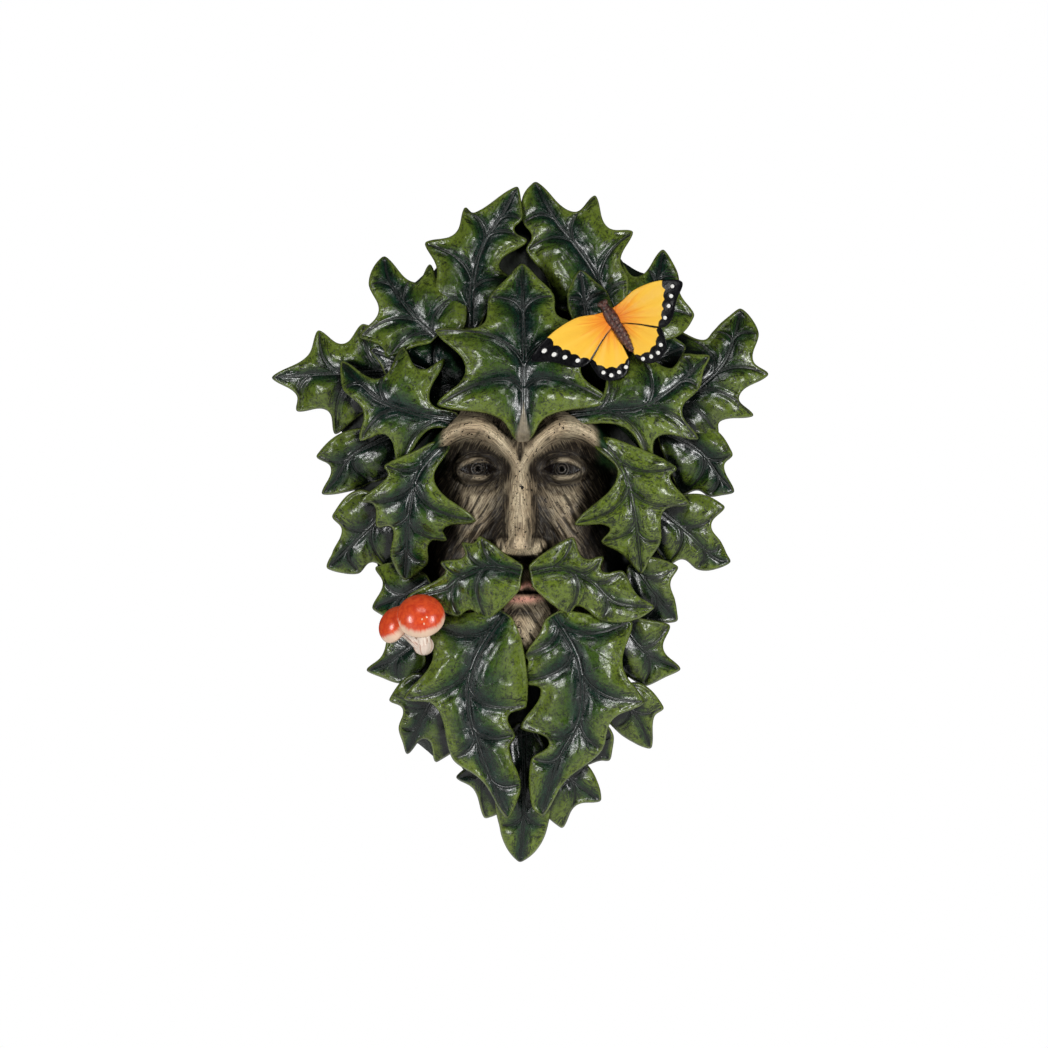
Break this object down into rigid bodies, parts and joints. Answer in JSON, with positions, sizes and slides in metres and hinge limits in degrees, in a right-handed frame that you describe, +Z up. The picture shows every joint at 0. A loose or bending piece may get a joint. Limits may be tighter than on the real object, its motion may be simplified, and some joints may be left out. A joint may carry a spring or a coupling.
{
  "type": "green man wall mask",
  "caption": "Wall plaque of a calm bearded face growing out of oak-like leaves, with a butterfly on the crown leaves and a pair of mushrooms on the beard.",
  "frame": {"origin": "on the flat back that lies against the wall, on the face's middle line, midway between the topmost and the lowest leaf tip", "axes": "+Z up along the mask's height, -Y out of the wall towards the viewer, +X to the viewer's right"},
  "size_m": [0.2772, 0.0792, 0.38],
  "materials": {
    "casting": "hand-painted cast resin under semi-gloss lacquer",
    "wing_paint": "hand-painted resin, satin",
    "cap_paint": "hand-painted resin, gloss"
  },
  "bodies": {
    "root": {"green_man_mask": "casting", "butterfly": "wing_paint", "mushrooms": "cap_paint"}
  },
  "joints": []
}
